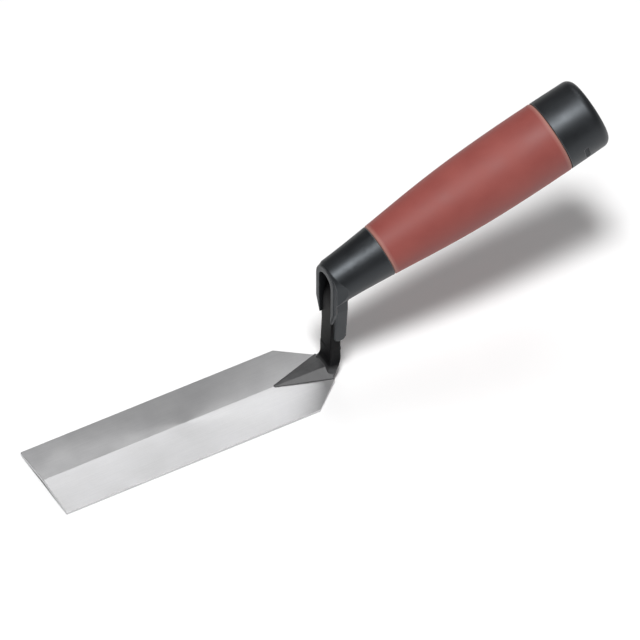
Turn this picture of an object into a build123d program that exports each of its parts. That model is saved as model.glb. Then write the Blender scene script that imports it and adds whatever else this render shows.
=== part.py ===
from build123d import *
import os
from math import asin, cos, degrees, radians, sin, tan

# A margin trowel: a narrow steel blade with a shallow crease along its middle, a forged shank that
# rises from the blade's heel and cranks back, and a moulded handle with a soft grip. The front of the
# handle is a hood that stands over the crank and runs down behind the shank as a finger guard.
#
# Drafting frame: origin on the crease of the blade's top face, at the heel end.
# +X runs from the blade's tip towards the handle, +Z up, and the XZ plane is the plane of symmetry.
# The finished parts are moved so that the origin is on the ground under the middle of the tool.
# Lengths are in millimetres and angles in degrees.

INCH = 25.4
BIG = 200.0

# Blade
blade_length = 5 * INCH
blade_width = 1.5 * INCH        # along the sheet, edge to edge
blade_thickness = 1.2
flange_fall = 4.5               # each side falls this far below level
tip_corner_radius = 0.6
heel_taper_length = 13.0
heel_width = 15.8

# Foot of the shank, a low three-sided wedge astride the crease
foot_length = 23.0
foot_nose_width = 1.0
foot_nose_height = 0.35
foot_nose_edge = 0.3
foot_edge_height = 0.7
foot_crown_height = 2.6
foot_crown_width = 5.2

# Neck of the shank, and the root that flares from it to the heel
neck_width = 8.5
neck_depth = 4.7
neck_corner = 0.7
neck_lean = 2.4                 # back from upright
neck_front = 0.0                # front face where it leaves the root
neck_start = 12.0               # height where the neck is straight and full size
root_steps = 7
root_step = 1.6                 # rise from one section of the root to the next
root_front_reach = 1.5          # how far the front of the root runs out over the foot
root_front_low = 2.4            # the front curve starts at this height
root_front_high = 7.4           # and has become the neck's front face at this one
root_front_width = 12.0
root_rear_high = 7.0            # the rear curve has become the neck's rear face here
root_flare_height = 8.0         # the root is as narrow as the neck above this
root_corner = 0.5
crank_outer_radius = 20.0

# Tang, inside the handle
tang_radius = 3.2
tang_taper = 6.0                # over which the flat bar turns round
tang_end = 90.0
tang_point = 5.0
tang_point_radius = 1.4
barb_count = 4
barb_pitch = 6.0
barb_depth = 0.5
barb_land = 1.0

# Handle axis: its height above the origin, and its pitch
axis_height = 44.1
handle_pitch = 18.0

# Handle outline, as (distance along the axis, radius)
outline = [
    (-4.0, 9.1), (7.4, 9.5), (25.8, 11.05), (42.8, 12.8),
    (61.8, 14.35), (83.8, 15.2), (108.0, 15.3), (123.0, 15.1),
]
cap_end = 126.7
cap_edge_round = 3.7
cap_dome = 0.8
grip_start = 25.8
grip_end = 107.8
grip_thickness = 2.4
grip_edge_round = 0.45

# Rings inside the grip that lock it to the core
key_ring_count = 3
key_ring_spacing = 24.0
key_ring_width = 4.0
key_ring_depth = 0.9

# Inside of the handle core
shell_thickness = 2.4
boss_radius = 6.4
pocket_start = 42.0
rib_count = 6
rib_thickness = 1.8
seat_radius = 10.2              # where the end cap plugs in
seat_depth = 9.5
plug_gap = 0.1
plug_wall = 2.2
plug_shortfall = 1.0
snap_height = 0.35
snap_width = 1.6
snap_play = 0.2

# Hood and finger guard
hood_front = -0.1
hood_half_width = 6.6
hood_top = 53.4
hood_height = 24.0
hood_flare_length = 8.8         # over which the hood widens to the round bolster
hood_flare_width = 22.0
hood_flare_height = 28.0
hood_flare_centre = 46.0
hood_corner = 6.2
hood_flare_corner = 10.0
hood_depth = 12.0
hood_floor = 2.2                # left between the opening and the underside of the bolster
guard_front = 1.4
guard_back = 7.0
guard_low = 16.0
guard_low_half_width = 5.0
guard_close = 27.0              # below this the guard grips the sides of the neck
guard_shoulder = 34.0           # and below this it narrows
guard_end_rise = 2.9
guard_back_round = 0.8
guard_web_radius = 7.0          # concave, from the guard's back to the underside of the bolster
guard_web_end = 16.0
guard_web_half_width = 4.6
guard_web_bury = 2.2            # its end runs into the bolster by this much

# Bead round the mouth of the hood, with its rounded profile as (distance back, inset)
rim_half_width = 7.6
rim_top = 54.0
rim_low = 27.0
rim_low_half_width = 4.9
rim_width = 2.8                 # from the outside of the bead to the opening
rim_profile = [(0, 0.9), (0.3, 0.25), (0.8, 0), (1.3, 0.25), (2.0, 1.0)]

# Shallow upright recess in each side of the end cap
recess_behind_grip = 7.5
recess_drop = 3.4               # its middle below the handle axis
recess_length = 7.0
recess_width = 2.0
recess_floor = 13.6             # from the plane of symmetry

fall = radians(flange_fall)
lean = radians(neck_lean)
pitch = radians(handle_pitch)
handle_at = Location((0, 0, axis_height), (0, -handle_pitch, 0))


def blade():
    """Creased sheet, square at the tip, with its heel corners cut off at a slant."""
    half = blade_width / 2
    edge = (half * cos(fall), -half * sin(fall))
    under = (edge[0] - blade_thickness * sin(fall), edge[1] - blade_thickness * cos(fall))
    ridge = -blade_thickness / cos(fall)
    points = [(0, 0), edge, under, (0, ridge), (-under[0], under[1]), (-edge[0], edge[1])]
    sheet = extrude(Plane.YZ * make_face(Polyline(*points, close=True).edges()), amount=-blade_length)
    plan = Polyline(
        (-blade_length, -half), (-heel_taper_length, -half), (0, -heel_width / 2),
        (0, heel_width / 2), (-heel_taper_length, half), (-blade_length, half), close=True,
    )
    sheet &= extrude(make_face(plan.edges()), amount=BIG, both=True)
    tips = sheet.edges().filter_by(lambda e: e.center().X < -blade_length + 0.1)
    corners = tips.filter_by(lambda e: abs(e.center().Y) > half - 1 and e.length < 2)
    return fillet(corners, tip_corner_radius)


def foot_section(x, width, crown_width, crown, edge):
    """Outline across the foot at x: it sits astride the crease and has a flat crown."""
    half = width / 2
    low = -half * tan(fall)
    points = [
        (0, 0), (half, low), (half, low + edge), (crown_width / 2, crown),
        (-crown_width / 2, crown), (-half, low + edge), (-half, low),
    ]
    return Plane.YZ.offset(x) * make_face(Polyline(*points, close=True).edges())


def foot():
    """Low wedge along the crease, from a blunt nose to the full width of the heel."""
    nose = foot_section(-foot_length, foot_nose_width, foot_nose_width / 2, foot_nose_height, foot_nose_edge)
    heel = foot_section(0, heel_width, foot_crown_width, foot_crown_height, foot_edge_height)
    return loft([nose, heel], ruled=True)


def neck_front_at(height):
    """Front face of the leaning neck at a height."""
    return neck_front + (height - root_front_high) * tan(lean)


def remaining(height, low, high):
    """1 at or below low, falling to 0 at or above high."""
    return 1 - min(max((height - low) / (high - low), 0), 1)


def root_section(height):
    """Level outline of the root: wide and long at the blade, closing in to the neck."""
    front = neck_front - root_front_reach * remaining(height, root_front_low, root_front_high) ** 3
    rear = (neck_front + neck_depth + 0.3) * (1 - remaining(height, 0, root_rear_high) ** 2)
    flare = remaining(height, 0, root_flare_height)
    front_half = neck_width / 2 + (root_front_width - neck_width) / 2 * flare ** 3
    rear_half = neck_width / 2 + (heel_width - neck_width) / 2 * flare ** 2
    points = [(front, -front_half), (rear, -rear_half), (rear, rear_half), (front, front_half)]
    face = make_face(Polyline(*points, close=True).edges())
    corner = neck_corner + (root_corner - neck_corner) * flare
    return Plane.XY.offset(height) * fillet(face.vertices(), corner)


def root():
    """Flared root, from the foot up to where the neck is straight."""
    sections = [root_section(step * root_step) for step in range(root_steps)]
    x, z = neck_middle()
    top = Plane(origin=(x, 0, z), x_dir=(cos(lean), 0, -sin(lean)), z_dir=(sin(lean), 0, cos(lean)))
    sections.append(top * RectangleRounded(neck_depth, neck_width, neck_corner))
    return loft(sections)


def neck_middle():
    """Middle of the bar where the straight neck starts."""
    return (neck_front_at(neck_start) + neck_depth / 2 / cos(lean), neck_start)


def neck_plane():
    """Plane across the neck where it starts."""
    x, z = neck_middle()
    return Plane(origin=(x, 0, z), x_dir=(0, 1, 0), z_dir=(sin(lean), 0, cos(lean)))


def crank():
    """Where the crank turns: start point, centre, angle turned, and where it ends along the handle axis."""
    x, z = neck_middle()
    corner_x = (x + (axis_height - z) * tan(lean)) / (1 - tan(pitch) * tan(lean))
    corner_z = axis_height + corner_x * tan(pitch)
    turn = 90 - handle_pitch - neck_lean
    radius = crank_outer_radius - neck_depth / 2
    tangent = radius * tan(radians(turn / 2))
    start = (corner_x - tangent * sin(lean), corner_z - tangent * cos(lean))
    centre = (start[0] + radius * cos(lean), start[1] - radius * sin(lean))
    return start, centre, turn, corner_x / cos(pitch) + tangent


def tang():
    """Round tang with a row of barbs and a blunt point, turned about the handle axis."""
    start = crank()[3] + tang_taper
    first_barb = tang_end - tang_point - barb_count * barb_pitch
    points = [(start, 0), (start, tang_radius)]
    for i in range(barb_count):
        begin = first_barb + i * barb_pitch
        points += [(begin, tang_radius), (begin, tang_radius - barb_depth)]
        points += [(begin + barb_pitch - barb_land, tang_radius)]
    points += [(tang_end - tang_point, tang_radius), (tang_end, tang_point_radius), (tang_end, 0)]
    return turned(make_face(Polyline(*points, close=True).edges()))


def shank():
    """One forging: foot, neck, crank and barbed tang."""
    start, centre, turn, crank_end = crank()
    outline_of_bar = RectangleRounded(neck_width, neck_depth, neck_corner)
    across = neck_plane()
    x, z = neck_middle()
    neck = extrude(across * outline_of_bar, amount=(start[1] - z) / cos(lean))
    at_crank = Plane(origin=(start[0], 0, start[1]), x_dir=across.x_dir, z_dir=across.z_dir)
    bend = revolve(at_crank * outline_of_bar, Axis((centre[0], 0, centre[1]), (0, 1, 0)), turn)
    flat = Plane.YZ.offset(crank_end) * outline_of_bar
    nearly_round = tang_radius - 0.05
    round_bar = RectangleRounded(2 * tang_radius, 2 * tang_radius, nearly_round)
    taper = loft([flat, Plane.YZ.offset(crank_end + tang_taper) * round_bar])
    bar = neck + bend + handle_at * taper + handle_at * tang()
    return bar + root() + foot()


def turned(face):
    """Solid turned about the handle axis from a face drawn as (distance along, radius)."""
    return revolve(Plane.XZ * face, Axis.X)


def rod(start, end, radius):
    """Plain cylinder on the handle axis."""
    return turned(Pos((start + end) / 2, radius / 2) * Rectangle(end - start, radius))


def under(inset):
    """Face between the axis and the outline drawn in by inset, closed at the domed end."""
    side = Spline(*[(u, r - inset) for u, r in outline])
    corner = outline[-1][1] - inset
    rim_top = corner - cap_edge_round
    start_x = outline[-1][0]
    reach = cap_edge_round * sin(radians(45))
    rim = ThreePointArc((start_x, corner), (start_x + reach, rim_top + reach), (cap_end, rim_top))
    dome_radius = (rim_top**2 + cap_dome**2) / (2 * cap_dome)
    dome_turn = degrees(asin(rim_top / dome_radius))
    dome = CenterArc((cap_end + cap_dome - dome_radius, 0), dome_radius, 0, dome_turn)
    start = outline[0][0]
    front = Line((start, 0), (start, outline[0][1] - inset))
    middle = Line((cap_end + cap_dome, 0), (start, 0))
    return make_face([*front.edges(), *side.edges(), *rim.edges(), *dome.edges(), *middle.edges()])


def between(start, end):
    """Band across the handle from start to end along the axis."""
    return Pos((start + end) / 2, BIG / 4) * Rectangle(end - start, BIG / 2)


def key_ring_faces():
    """Rings on the inside of the grip, evenly spaced about its middle."""
    ring = under(grip_thickness) - under(grip_thickness + key_ring_depth)
    middle = (grip_start + grip_end) / 2
    places = [middle + (i - (key_ring_count - 1) / 2) * key_ring_spacing for i in range(key_ring_count)]
    return [ring & between(u - key_ring_width / 2, u + key_ring_width / 2) for u in places]


def grip_sleeve():
    """Soft sleeve between bolster and end cap, flush with both, keyed to the core."""
    face = (under(0) - under(grip_thickness)) & between(grip_start, grip_end)
    for end in (grip_start, grip_end):
        corner = face.vertices().filter_by(lambda v: abs(v.X - end) < 0.01).sort_by(Axis.Y)[-1]
        face = fillet(corner, grip_edge_round)
    for ring in key_ring_faces():
        face += ring
    return handle_at * turned(face)


def pocket():
    """Hollow behind the core's shell, with ribs out to it from the boss round the tang."""
    hollow_end = grip_end - seat_depth
    hollow = turned(under(grip_thickness + shell_thickness) & between(pocket_start, hollow_end))
    hollow -= rod(pocket_start, hollow_end, boss_radius)
    length = hollow_end - pocket_start
    rib = Pos((pocket_start + hollow_end) / 2, 0, BIG / 8) * Box(length, rib_thickness, BIG / 4)
    for i in range(rib_count):
        hollow -= Rot(360 / rib_count * i, 0, 0) * rib
    return hollow


def seat():
    """Bore in the end of the core for the cap's plug, with its snap groove."""
    middle = grip_end - seat_depth / 2
    reach = (snap_width + snap_play) / 2
    groove = rod(middle - reach, middle + reach, seat_radius + snap_height)
    return rod(grip_end - seat_depth, grip_end, seat_radius) + groove


def front_view(half_width, low_half_width, top, low):
    """Round-topped upright outline in the YZ plane, narrowing below the guard's shoulder."""
    centre = top - half_width
    side = [(half_width, guard_shoulder), (low_half_width, low)]
    other = [(-y, z) for y, z in side]
    lines = Polyline((-half_width, centre), *other, *reversed(side), (half_width, centre))
    arch = ThreePointArc((half_width, centre), (0, top), (-half_width, centre))
    return Plane.YZ * make_face([*lines.edges(), *arch.edges()])


def underside_at(x):
    """Height of the bolster's underside, on the plane of symmetry."""
    ends = []
    for u, r in (outline[0], outline[2]):
        ends.append((u * cos(pitch) + r * sin(pitch), axis_height + u * sin(pitch) - r * cos(pitch)))
    (x1, z1), (x2, z2) = ends
    return z1 + (x - x1) * (z2 - z1) / (x2 - x1)


def guard_room():
    """Full width up to the guard's back, and narrow behind it, where the web is."""
    ahead = Pos(guard_back - BIG / 4) * Box(BIG / 2, BIG, BIG)
    behind = Pos(guard_back + BIG / 4) * Box(BIG / 2, 2 * guard_web_half_width, BIG)
    return ahead + behind


def guard():
    """Finger guard: a channel behind and beside the neck, rounded at its lower end."""
    low = guard_low + guard_end_rise
    middle = (guard_front + guard_back) / 2
    sides = Polyline(
        (guard_front, low), (guard_front, axis_height), (guard_web_end, axis_height),
        (guard_web_end, underside_at(guard_web_end) + guard_web_bury),
        (guard_back, underside_at(guard_back) + guard_web_bury), (guard_back, low),
    )
    tip = ThreePointArc((guard_back, low), (middle, guard_low), (guard_front, low))
    outline_of_side = make_face([*sides.edges(), *tip.edges()])
    web = outline_of_side.vertices().filter_by(lambda v: abs(v.X - guard_back) < 0.01).sort_by(Axis.Y)[-1]
    side_view = extrude(Plane.XZ * fillet(web, guard_web_radius), amount=BIG / 4, both=True)
    front = front_view(hood_half_width, guard_low_half_width, hood_top, guard_low)
    body = side_view & extrude(front, amount=BIG / 4, both=True) & guard_room()
    back = body.edges().filter_by(lambda e: abs(e.center().X - guard_back) < 0.1 and abs(e.center().Y) > 5)
    return fillet(back.filter_by(lambda e: e.length > 9), guard_back_round)


def hood():
    """Front of the handle, drawn in from the round bolster to a narrow arched mouth."""
    body = handle_at * turned(under(0) & between(outline[0][0], grip_start))
    mouth = RectangleRounded(2 * hood_half_width, hood_height, hood_corner)
    flare = RectangleRounded(hood_flare_width, hood_flare_height, hood_flare_corner)
    flare_end = hood_front + hood_flare_length
    across = Plane.YZ.offset(hood_front) * Pos(0, hood_top - hood_height / 2)
    behind = Plane.YZ.offset(flare_end) * Pos(0, hood_flare_centre)
    funnel = loft([across * mouth, behind * flare], ruled=True)
    rear = Pos(flare_end + BIG / 4, 0, axis_height) * Box(BIG / 2, BIG / 2, BIG / 2)
    return body & (funnel + rear)


def rim():
    """Rounded bead round the mouth of the hood."""
    sections = []
    for back, inset in rim_profile:
        half, low_half = rim_half_width - inset, rim_low_half_width - inset
        view = front_view(half, low_half, rim_top - inset, rim_low)
        sections.append(Pos(hood_front + back, 0, 0) * view)
    return loft(sections, ruled=True)


def opening():
    """Space round the crank: arched, open in front, and closing on to the neck lower down."""
    half = rim_half_width - rim_width
    reach = BIG / 4
    arch = front_view(half, neck_width / 2, rim_top - rim_width, guard_close)
    upper = extrude(arch, amount=reach, both=True) & Pos(hood_depth - reach, 0, 0) * Box(2 * reach, BIG, BIG)
    floor = Polyline(
        (neck_depth, 0), (neck_depth, underside_at(neck_depth) + hood_floor),
        (reach, underside_at(reach) + hood_floor), (reach, 0), close=True,
    )
    behind_neck = extrude(Plane.XZ * make_face(floor.edges()), amount=reach, both=True)
    slot_height = guard_close + 1
    slot_back = neck_depth / 2
    slot = Pos(slot_back - reach / 2, 0, slot_height / 2) * Box(reach, neck_width, slot_height)
    return (upper - behind_neck) + slot


def handle_core(forging):
    """Hard core moulded round the tang: hood, guard, bolster and the tube under the grip."""
    tube = turned(under(grip_thickness) & between(grip_start, grip_end))
    for ring in key_ring_faces():
        tube -= turned(ring)
    tube = tube - pocket() - seat()
    return hood() + guard() + rim() + handle_at * tube - opening() - forging


def strip(start, end, inner, outer):
    """Face from start to end along the axis, between two distances from it."""
    return Pos((start + end) / 2, (inner + outer) / 2) * Rectangle(end - start, outer - inner)


def end_cap():
    """Closed end of the handle, plugged and snapped into the core, with a recess in each side."""
    plug_start = grip_end - seat_depth + plug_shortfall
    plug_radius = seat_radius - plug_gap
    plug_bore = plug_radius - plug_wall
    snap_start = grip_end - (seat_depth + snap_width) / 2
    face = under(0) & between(grip_end, BIG)
    face += strip(plug_start, grip_end, plug_bore, plug_radius)
    face += strip(snap_start, snap_start + snap_width, plug_bore, plug_radius + snap_height)
    upright = Rot(0, 0, 90) * SlotOverall(recess_length, recess_width)
    recess = Plane.XZ * Pos(grip_end + recess_behind_grip, -recess_drop) * upright
    recesses = extrude(recess, amount=BIG / 4, both=True) - Box(2 * BIG, 2 * recess_floor, BIG)
    return handle_at * (turned(face) - recesses)


def build():
    """Every node by name, in the finished frame."""
    forging = shank()
    parts = {
        "blade": blade(),
        "shank": forging,
        "handle_core": handle_core(forging),
        "grip_sleeve": grip_sleeve(),
        "end_cap": end_cap(),
    }
    box = Compound(list(parts.values())).bounding_box()
    to_ground = Pos(-(box.min.X + box.max.X) / 2, 0, -box.min.Z)
    return {name: to_ground * part for name, part in parts.items()}


if __name__ == "__main__":
    os.makedirs("parts", exist_ok=True)
    for name, part in build().items():
        export_step(part, f"parts/{name}.step")
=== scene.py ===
import math

import bpy
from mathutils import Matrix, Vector


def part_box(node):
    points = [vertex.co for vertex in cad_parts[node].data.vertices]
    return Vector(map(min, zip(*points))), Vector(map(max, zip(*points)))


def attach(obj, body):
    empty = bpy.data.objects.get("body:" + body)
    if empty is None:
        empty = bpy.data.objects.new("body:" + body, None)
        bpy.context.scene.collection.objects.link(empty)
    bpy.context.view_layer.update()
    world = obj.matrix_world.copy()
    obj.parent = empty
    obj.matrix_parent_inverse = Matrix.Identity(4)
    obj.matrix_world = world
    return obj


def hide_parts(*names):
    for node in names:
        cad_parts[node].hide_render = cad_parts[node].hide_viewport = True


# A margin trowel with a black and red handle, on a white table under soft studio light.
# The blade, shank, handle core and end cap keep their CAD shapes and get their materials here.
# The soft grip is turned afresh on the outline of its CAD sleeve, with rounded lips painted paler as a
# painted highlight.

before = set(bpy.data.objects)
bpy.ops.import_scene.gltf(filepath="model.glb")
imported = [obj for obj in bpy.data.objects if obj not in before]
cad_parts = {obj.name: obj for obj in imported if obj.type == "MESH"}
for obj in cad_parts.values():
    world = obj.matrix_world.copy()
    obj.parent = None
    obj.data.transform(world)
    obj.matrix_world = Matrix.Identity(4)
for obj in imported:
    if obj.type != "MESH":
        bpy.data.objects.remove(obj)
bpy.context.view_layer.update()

MM = 0.001

# Camera: a long lens from far away, so that the view is close to parallel
VIEW_AZIMUTH = math.radians(-29.7)
VIEW_ELEVATION = math.radians(45.1)
CAMERA_DISTANCE = 5.00
LENS = 714.3
SENSOR = 36.0
CLIP_END = 10.0
AIM_BEFORE_HEEL = 0.0022        # from the blade's heel towards its tip
AIM_HEIGHT = 0.0268             # above the blade's top

# Edges: the cosine between the bevelled normal and the true one, on a flat and on a full edge (full wear on
# the steel, full painted highlight on the plastic)
BEVEL_SAMPLES = 6
FLAT_COSINE = 0.999
FULL_EDGE_COSINE = 0.90

# Shank: heights above the blade's top where the lighter foot ends and the dark neck begins
LIGHTER_FOOT_BELOW = 2.2 * MM
DARK_ABOVE = 4.0 * MM

# Soft grip
HANDLE_PITCH = math.radians(18.0)
GRIP_STATIONS = 72              # steps between rings along the grip
GRIP_SIDES = 120                # points round it
GRIP_WALL = 2.3 * MM
OUTLINE_STEP = 0.2 * MM         # the outline keeps the widest point in each step of this length
OUTLINE_TRIM = 1.0 * MM         # left out of the outline at each end
STEEPEST = 0.3                  # the outline's first and last stretches slope no more than this
LIP_ROUND = 1.0 * MM
LIP_STEPS = 6                   # rings round each lip
LIP_RISE = 0.06 * MM            # the moulding swells this much before each end
LIP_LENGTH = 3.2 * MM           # and over this length
LIP_HIGHLIGHT_LENGTH = 1.8 * MM          # the painted highlight on a lip fades out over this length

# Stage
TABLE_HALF = 3.0
SKY_LEVEL = 0.12

# Sockets of the mix node in its colour mode
MIX_SHARE, MIX_FIRST, MIX_SECOND, MIX_RESULT = 0, 6, 7, 2


# ---------------------------------------------------------------- node helpers

def new_material(name):
    """A node material with its tree, its shader and a helper that adds nodes to it."""
    material = bpy.data.materials.new(name)
    material.use_nodes = True
    tree = material.node_tree
    shader = tree.nodes["Principled BSDF"]

    def add(kind, **settings):
        node = tree.nodes.new(kind)
        for key, value in settings.items():
            setattr(node, key, value)
        return node

    return material, tree, shader, add


def place(tree, add, scale=(1.0, 1.0, 1.0)):
    """Object coordinates, multiplied by scale, for a pattern that follows the part."""
    coordinates = add("ShaderNodeTexCoord")
    mapping = add("ShaderNodeMapping")
    mapping.inputs["Scale"].default_value = scale
    tree.links.new(coordinates.outputs["Object"], mapping.inputs["Vector"])
    return mapping.outputs["Vector"]


def noise(tree, add, vector, scale, detail=4.0, rough=0.55):
    """Cloudy pattern from 0 to 1. A larger scale makes it finer."""
    node = add("ShaderNodeTexNoise")
    node.inputs["Scale"].default_value = scale
    node.inputs["Detail"].default_value = detail
    node.inputs["Roughness"].default_value = rough
    tree.links.new(vector, node.inputs["Vector"])
    return node.outputs["Fac"]


def ramp(tree, add, value, low, high, low_at=0.3, high_at=0.7):
    """Maps a 0 to 1 value on to two colours, or two greys."""
    node = add("ShaderNodeValToRGB")
    stops = node.color_ramp.elements
    stops[0].position, stops[1].position = low_at, high_at
    stops[0].color, stops[1].color = low, high
    tree.links.new(value, node.inputs["Fac"])
    return node.outputs["Color"]


def grey(level):
    """Opaque grey, from 0 for black to 1 for white."""
    return (level, level, level, 1.0)


def mix_colour(tree, add, share, first, second, blend="MIX"):
    """Goes from first to second with share. Each of the three is a value or a node's output."""
    node = add("ShaderNodeMix", data_type="RGBA", blend_type=blend)
    for socket, value in ((MIX_SHARE, share), (MIX_FIRST, first), (MIX_SECOND, second)):
        if isinstance(value, bpy.types.NodeSocket):
            tree.links.new(value, node.inputs[socket])
        else:
            node.inputs[socket].default_value = value
    return node.outputs[MIX_RESULT]


def bump(tree, add, height, strength, distance, below=None):
    """Normal raised by a height pattern, on top of the normal below if there is one."""
    node = add("ShaderNodeBump")
    node.inputs["Strength"].default_value = strength
    node.inputs["Distance"].default_value = distance
    tree.links.new(height, node.inputs["Height"])
    if below is not None:
        tree.links.new(below, node.inputs["Normal"])
    return node.outputs["Normal"]


def edge_wear_and_highlight(tree, add, radius):
    """1 on a sharp edge and 0 on a flat, with the rounded normal that tells them apart."""
    bevel = add("ShaderNodeBevel")
    bevel.samples = BEVEL_SAMPLES
    bevel.inputs["Radius"].default_value = radius
    geometry = add("ShaderNodeNewGeometry")
    cosine = add("ShaderNodeVectorMath", operation="DOT_PRODUCT")
    tree.links.new(bevel.outputs["Normal"], cosine.inputs[0])
    tree.links.new(geometry.outputs["Normal"], cosine.inputs[1])
    edge_map = add("ShaderNodeMapRange")
    edge_map.inputs["From Min"].default_value = FLAT_COSINE
    edge_map.inputs["From Max"].default_value = FULL_EDGE_COSINE
    tree.links.new(cosine.outputs["Value"], edge_map.inputs["Value"])
    return edge_map.outputs["Result"], bevel.outputs["Normal"]


def near_blade(tree, add):
    """1 on the foot that lies along the blade, 0 on the neck above it."""
    coordinates = add("ShaderNodeTexCoord")
    axes = add("ShaderNodeSeparateXYZ")
    tree.links.new(coordinates.outputs["Object"], axes.inputs["Vector"])
    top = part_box("blade")[1].z
    share = add("ShaderNodeMapRange")
    share.inputs["From Min"].default_value = top + DARK_ABOVE
    share.inputs["From Max"].default_value = top + LIGHTER_FOOT_BELOW
    tree.links.new(axes.outputs["Z"], share.inputs["Value"])
    return share.outputs["Result"]


# ---------------------------------------------------------------- materials

def ground_steel():
    """Bright ground blade: fine scratches along its length, faint blotches, brighter edges."""
    material, tree, shader, add = new_material("ground_steel")
    along = place(tree, add, scale=(6.0, 420.0, 420.0))
    across = place(tree, add, scale=(160.0, 14.0, 14.0))
    fine = noise(tree, add, along, scale=9.0, detail=6.0, rough=0.7)
    cross = noise(tree, add, across, scale=8.0, detail=3.0)
    blotch = noise(tree, add, place(tree, add), scale=55.0, detail=5.0, rough=0.6)
    base = ramp(tree, add, blotch, (0.50, 0.50, 0.51, 1), (0.60, 0.60, 0.605, 1))
    scratch = ramp(tree, add, fine, grey(0.86), grey(1.0), low_at=0.35, high_at=0.65)
    scratched = mix_colour(tree, add, 0.6, base, scratch, blend="MULTIPLY")
    edge_share, rounded = edge_wear_and_highlight(tree, add, radius=0.35 * MM)
    colour = mix_colour(tree, add, edge_share, scratched, (0.82, 0.82, 0.83, 1))
    tree.links.new(colour, shader.inputs["Base Color"])
    tree.links.new(ramp(tree, add, blotch, grey(0.36), grey(0.46)), shader.inputs["Roughness"])
    shader.inputs["Metallic"].default_value = 1.0
    shader.inputs["Anisotropic"].default_value = 0.35
    normal = bump(tree, add, fine, strength=0.10, distance=0.03 * MM, below=rounded)
    normal = bump(tree, add, cross, strength=0.04, distance=0.03 * MM, below=normal)
    tree.links.new(normal, shader.inputs["Normal"])
    return material


def forged_steel():
    """Dark oxide on a forging: fine pitting, soft blotches, bare metal on worn edges, and a lighter,
    shinier foot by the blade.
    """
    material, tree, shader, add = new_material("forged_steel")
    whole = place(tree, add)
    pits = noise(tree, add, whole, scale=1500.0, detail=5.0, rough=0.65)
    blotch = noise(tree, add, whole, scale=160.0, detail=5.0, rough=0.6)
    dark = ramp(tree, add, blotch, (0.005, 0.005, 0.0055, 1), (0.012, 0.012, 0.013, 1))
    lighter_foot = ramp(tree, add, blotch, (0.035, 0.035, 0.036, 1), (0.070, 0.070, 0.072, 1))
    low = near_blade(tree, add)
    base = mix_colour(tree, add, low, dark, lighter_foot)
    edge_share, rounded = edge_wear_and_highlight(tree, add, radius=0.5 * MM)
    broken = add("ShaderNodeMath", operation="MULTIPLY")
    tree.links.new(edge_share, broken.inputs[0])
    tree.links.new(blotch, broken.inputs[1])
    colour = mix_colour(tree, add, broken.outputs["Value"], base, (0.16, 0.16, 0.165, 1))
    tree.links.new(colour, shader.inputs["Base Color"])
    shine = ramp(tree, add, low, grey(0.05), grey(0.45), low_at=0.0, high_at=1.0)
    tree.links.new(shine, shader.inputs["Specular IOR Level"])
    tree.links.new(ramp(tree, add, blotch, grey(0.36), grey(0.50)), shader.inputs["Roughness"])
    shader.inputs["Metallic"].default_value = 0.1
    normal = bump(tree, add, pits, strength=0.35, distance=0.05 * MM, below=rounded)
    normal = bump(tree, add, blotch, strength=0.25, distance=0.20 * MM, below=normal)
    tree.links.new(normal, shader.inputs["Normal"])
    return material


def hard_plastic():
    """Black moulded plastic with a fine spark grain, and edges painted lighter as a painted highlight."""
    material, tree, shader, add = new_material("hard_plastic")
    whole = place(tree, add)
    grain = noise(tree, add, whole, scale=2600.0, detail=3.0, rough=0.6)
    blotch = noise(tree, add, whole, scale=120.0)
    edge_share, rounded = edge_wear_and_highlight(tree, add, radius=0.6 * MM)
    base = ramp(tree, add, blotch, (0.003, 0.0032, 0.0038, 1), (0.006, 0.0063, 0.0072, 1))
    # Edge colour: a painted highlight, lighter where the moulding's edges round over.
    colour = mix_colour(tree, add, edge_share, base, (0.090, 0.091, 0.094, 1))
    tree.links.new(colour, shader.inputs["Base Color"])
    tree.links.new(ramp(tree, add, blotch, grey(0.43), grey(0.51)), shader.inputs["Roughness"])
    shader.inputs["Specular IOR Level"].default_value = 0.64
    shader.inputs["Specular Tint"].default_value = (0.86, 0.93, 1.0, 1.0)
    normal = bump(tree, add, grain, strength=0.22, distance=0.03 * MM, below=rounded)
    tree.links.new(normal, shader.inputs["Normal"])
    return material


def soft_grip():
    """Dull red soft-touch rubber: matte grain, slight sheen, uneven marks and lips painted paler as a
    painted highlight.
    """
    material, tree, shader, add = new_material("soft_grip")
    whole = place(tree, add)
    grain = noise(tree, add, whole, scale=1900.0, rough=0.6)
    blotch = noise(tree, add, whole, scale=70.0, detail=5.0)
    base = ramp(tree, add, blotch, (0.240, 0.048, 0.040, 1), (0.285, 0.064, 0.053, 1))
    lip_share = add("ShaderNodeAttribute", attribute_name="lip")
    # Lips painted paler: a painted highlight on their rounding.
    colour = mix_colour(tree, add, lip_share.outputs["Fac"], base, (0.40, 0.20, 0.165, 1))
    tree.links.new(colour, shader.inputs["Base Color"])
    tree.links.new(ramp(tree, add, blotch, grey(0.56), grey(0.68)), shader.inputs["Roughness"])
    shader.inputs["Sheen Weight"].default_value = 0.06
    shader.inputs["Sheen Roughness"].default_value = 0.5
    normal = bump(tree, add, grain, strength=0.32, distance=0.05 * MM)
    normal = bump(tree, add, blotch, strength=0.10, distance=0.30 * MM, below=normal)
    tree.links.new(normal, shader.inputs["Normal"])
    return material


def table_top():
    """Matte white with a faint unevenness."""
    material, tree, shader, add = new_material("table_top")
    tone = ramp(tree, add, noise(tree, add, place(tree, add), scale=6.0), grey(0.90), grey(0.93))
    tree.links.new(tone, shader.inputs["Base Color"])
    shader.inputs["Roughness"].default_value = 0.9
    shader.inputs["Specular IOR Level"].default_value = 0.1
    return material


def dress(node, material):
    """Gives a CAD node its material. Its own normals already shade it smoothly."""
    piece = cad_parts[node]
    piece.data.materials.clear()
    piece.data.materials.append(material)


# ---------------------------------------------------------------- soft grip

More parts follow.
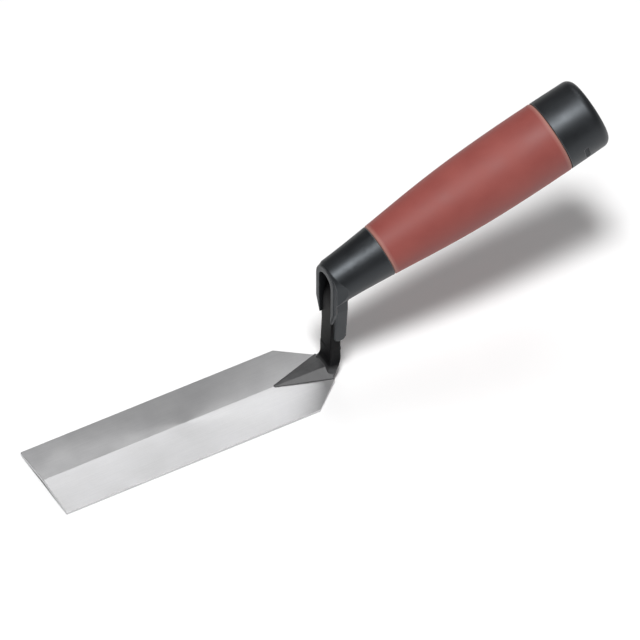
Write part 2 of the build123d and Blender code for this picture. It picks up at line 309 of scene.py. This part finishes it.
def handle_axis(sleeve):
    """Unit vectors along and across the handle, and how far its axis is across from the origin."""
    along = Vector((math.cos(HANDLE_PITCH), 0, math.sin(HANDLE_PITCH)))
    across = Vector((-math.sin(HANDLE_PITCH), 0, math.cos(HANDLE_PITCH)))
    offsets = [across.dot(point) for point in sleeve]
    return along, across, (min(offsets) + max(offsets)) / 2


def widest_points(sleeve, along, across, centre):
    """The sleeve's outermost point in each step along the axis, as (place along it, radius)."""
    widest = {}
    for point in sleeve:
        u = along.dot(point)
        radius = math.hypot(across.dot(point) - centre, point.y)
        key = round(u / OUTLINE_STEP)
        if key not in widest or radius > widest[key][1]:
            widest[key] = (u, radius)
    return sorted(widest.values())


def taut_outline(points):
    """The line that a thread pulled taut over the points would take."""
    taut = []
    for u, r in points:
        while len(taut) > 1:
            (u1, r1), (u2, r2) = taut[-2:]
            if (u2 - u1) * (r - r1) < (r2 - r1) * (u - u1):
                break
            taut.pop()
        taut.append((u, r))
    while taut[1][1] - taut[0][1] > STEEPEST * (taut[1][0] - taut[0][0]):
        taut.pop(0)
    while taut[-2][1] - taut[-1][1] > STEEPEST * (taut[-1][0] - taut[-2][0]):
        taut.pop()
    return taut


def radius_at(outline, u):
    """Radius at u, carried on in a straight line beyond the outline's ends."""
    for (u1, r1), (u2, r2) in zip(outline, outline[1:]):
        if u <= u2:
            break
    return r1 + (u - u1) * (r2 - r1) / (u2 - u1)


def lip(u, radius, way):
    """Quarter round from the ring at u to an end of the sleeve: way -1 is the front, 1 the rear."""
    turns = [math.radians(90 * step / LIP_STEPS) for step in range(1, LIP_STEPS + 1)]
    return [
        (u + way * LIP_ROUND * math.sin(turn), radius - LIP_ROUND * (1 - math.cos(turn)))
        for turn in turns
    ]


def grip_section(outline, start, end):
    """Closed section of the sleeve: front lip, outside, rear lip, inside."""
    outside = []
    for i in range(GRIP_STATIONS + 1):
        u = start + LIP_ROUND + (end - start - 2 * LIP_ROUND) * i / GRIP_STATIONS
        near = max(0.0, 1 - min(u - start, end - u) / LIP_LENGTH)
        outside.append((u, radius_at(outline, u) + LIP_RISE * near * near * (3 - 2 * near)))
    front = lip(*outside[0], -1)
    rear = lip(*outside[-1], 1)
    inside = [(u, radius_at(outline, u) - GRIP_WALL) for u in (end, (start + end) / 2, start)]
    return front[::-1] + outside + rear + inside


def turned_mesh(name, section, along, across, centre):
    """Closed section turned about the handle's axis."""
    verts = []
    for u, radius in section:
        for k in range(GRIP_SIDES):
            angle = 2 * math.pi * k / GRIP_SIDES
            point = along * u + across * (centre + radius * math.sin(angle))
            verts.append((point.x, radius * math.cos(angle), point.z))
    faces = []
    for i in range(len(section)):
        here = i * GRIP_SIDES
        there = (i + 1) % len(section) * GRIP_SIDES
        for k in range(GRIP_SIDES):
            following = (k + 1) % GRIP_SIDES
            faces.append((here + k, here + following, there + following, there + k))
    mesh = bpy.data.meshes.new(name)
    mesh.from_pydata(verts, [], faces)
    mesh.shade_smooth()
    return mesh


def lathed_grip():
    """Soft sleeve that takes the CAD sleeve's place, with a mark of how near a lip each point is, for the
    lips' painted highlight.
    """
    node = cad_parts["grip_sleeve"]
    sleeve = [node.matrix_world @ vertex.co for vertex in node.data.vertices]
    along, across, centre = handle_axis(sleeve)
    points = widest_points(sleeve, along, across, centre)
    start, end = points[0][0], points[-1][0]
    kept = [(u, r) for u, r in points if start + OUTLINE_TRIM < u < end - OUTLINE_TRIM]
    section = grip_section(taut_outline(kept), start, end)
    mesh = turned_mesh("soft_grip_sleeve", section, along, across, centre)
    # Painted highlight share: 1 at each end of the sleeve, fading to 0 over a lip's length.
    painted_highlight = []
    for u, _ in section:
        painted_highlight += [max(0.0, 1 - min(u - start, end - u) / LIP_HIGHLIGHT_LENGTH)] * GRIP_SIDES
    mesh.attributes.new("lip", "FLOAT", "POINT").data.foreach_set("value", painted_highlight)
    mesh.materials.append(soft_grip())
    grip = bpy.data.objects.new("soft_grip_sleeve", mesh)
    bpy.context.scene.collection.objects.link(grip)
    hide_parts("grip_sleeve")
    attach(grip, "root")


# ---------------------------------------------------------------- stage

def floor():
    """Large white table top."""
    half = TABLE_HALF
    corners = [(-half, -half, 0), (half, -half, 0), (half, half, 0), (-half, half, 0)]
    mesh = bpy.data.meshes.new("table")
    mesh.from_pydata(corners, [], [(0, 1, 2, 3)])
    mesh.materials.append(table_top())
    table = bpy.data.objects.new("table", mesh)
    bpy.context.scene.collection.objects.link(table)


def softbox(name, direction, distance, size, power, target):
    """Rectangular area light that faces the target."""
    light = bpy.data.lights.new(name, "AREA")
    light.shape = "RECTANGLE"
    light.size, light.size_y = size
    light.energy = power
    lamp = bpy.data.objects.new(name, light)
    way = Vector(direction).normalized()
    lamp.location = Vector(target) + way * distance
    lamp.rotation_euler = way.to_track_quat("Z", "Y").to_euler()
    bpy.context.scene.collection.objects.link(lamp)


def card(name, direction, distance, size, radiance, target):
    """Large distant light of a given radiance, for the blade to reflect."""
    softbox(name, direction, distance, size, radiance * math.pi * size[0] * size[1], target)


def lights(target):
    """Key light over the tool, and two cards behind it for the blade to reflect."""
    softbox("key", direction=(-0.16, -0.28, 0.95), distance=2.4, size=(0.52, 0.52),
            power=56.0, target=target)
    card("bright card", direction=(0.35, 0.38, 0.856), distance=3.0, size=(1.6, 1.28),
         radiance=2.6, target=target)
    card("grey card", direction=(0.35, 0.76, 0.55), distance=3.0, size=(1.6, 0.9),
         radiance=0.41, target=target)


def sky():
    """Dim even white light from all round."""
    world = bpy.data.worlds.new("studio")
    world.use_nodes = True
    backdrop = world.node_tree.nodes["Background"]
    backdrop.inputs["Color"].default_value = grey(1.0)
    backdrop.inputs["Strength"].default_value = SKY_LEVEL
    bpy.context.scene.world = world


def camera():
    """Looks down at the tool from beyond its tip, on its -Y side. Returns what it aims at."""
    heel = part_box("blade")[1].x
    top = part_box("blade")[1].z
    aim = Vector((heel - AIM_BEFORE_HEEL, 0, top + AIM_HEIGHT))
    flat = math.cos(VIEW_ELEVATION)
    away = Vector((math.sin(VIEW_AZIMUTH) * flat, -math.cos(VIEW_AZIMUTH) * flat, math.sin(VIEW_ELEVATION)))
    eye = bpy.data.objects.new("camera", bpy.data.cameras.new("camera"))
    eye.data.lens = LENS
    eye.data.sensor_width = SENSOR
    eye.data.clip_end = CLIP_END
    eye.location = aim + away * CAMERA_DISTANCE
    eye.rotation_euler = away.to_track_quat("Z", "Y").to_euler()
    bpy.context.scene.collection.objects.link(eye)
    bpy.context.scene.camera = eye
    return aim


plastic = hard_plastic()
dress("blade", ground_steel())
dress("shank", forged_steel())
dress("handle_core", plastic)
dress("end_cap", plastic)
lathed_grip()

floor()
lights(camera())
sky()
bpy.context.scene.view_settings.view_transform = "Standard"
